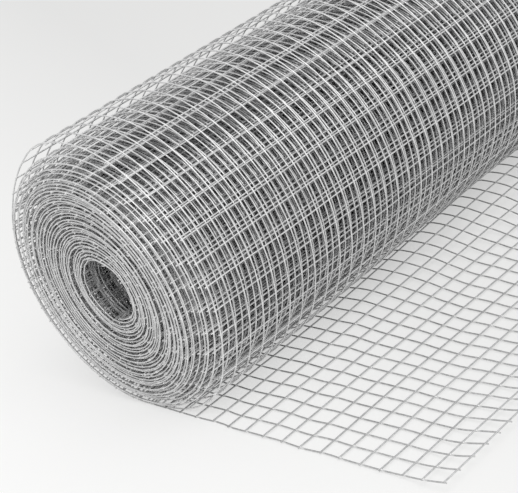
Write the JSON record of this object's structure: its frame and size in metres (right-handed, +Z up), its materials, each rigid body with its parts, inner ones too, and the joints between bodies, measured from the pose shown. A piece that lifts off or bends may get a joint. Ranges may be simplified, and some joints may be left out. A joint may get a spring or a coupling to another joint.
{
  "type": "roll of welded wire fencing",
  "caption": "Roll of galvanised welded wire mesh lying on its side, wound round an open bore, with its loose end unrolled flat on the floor.",
  "frame": {"origin": "centre of the open bore, halfway along the roll", "axes": "+Y along the roll's axis, away from the near end; +X along the loose end, away from the roll; +Z up from the floor"},
  "size_m": [0.5434, 0.916, 0.282],
  "materials": {
    "galvanised_wire": "dull galvanised zinc"
  },
  "bodies": {
    "root": {"roll": "galvanised_wire", "loose_end_near": "galvanised_wire", "loose_end_far": "galvanised_wire"}
  },
  "joints": []
}
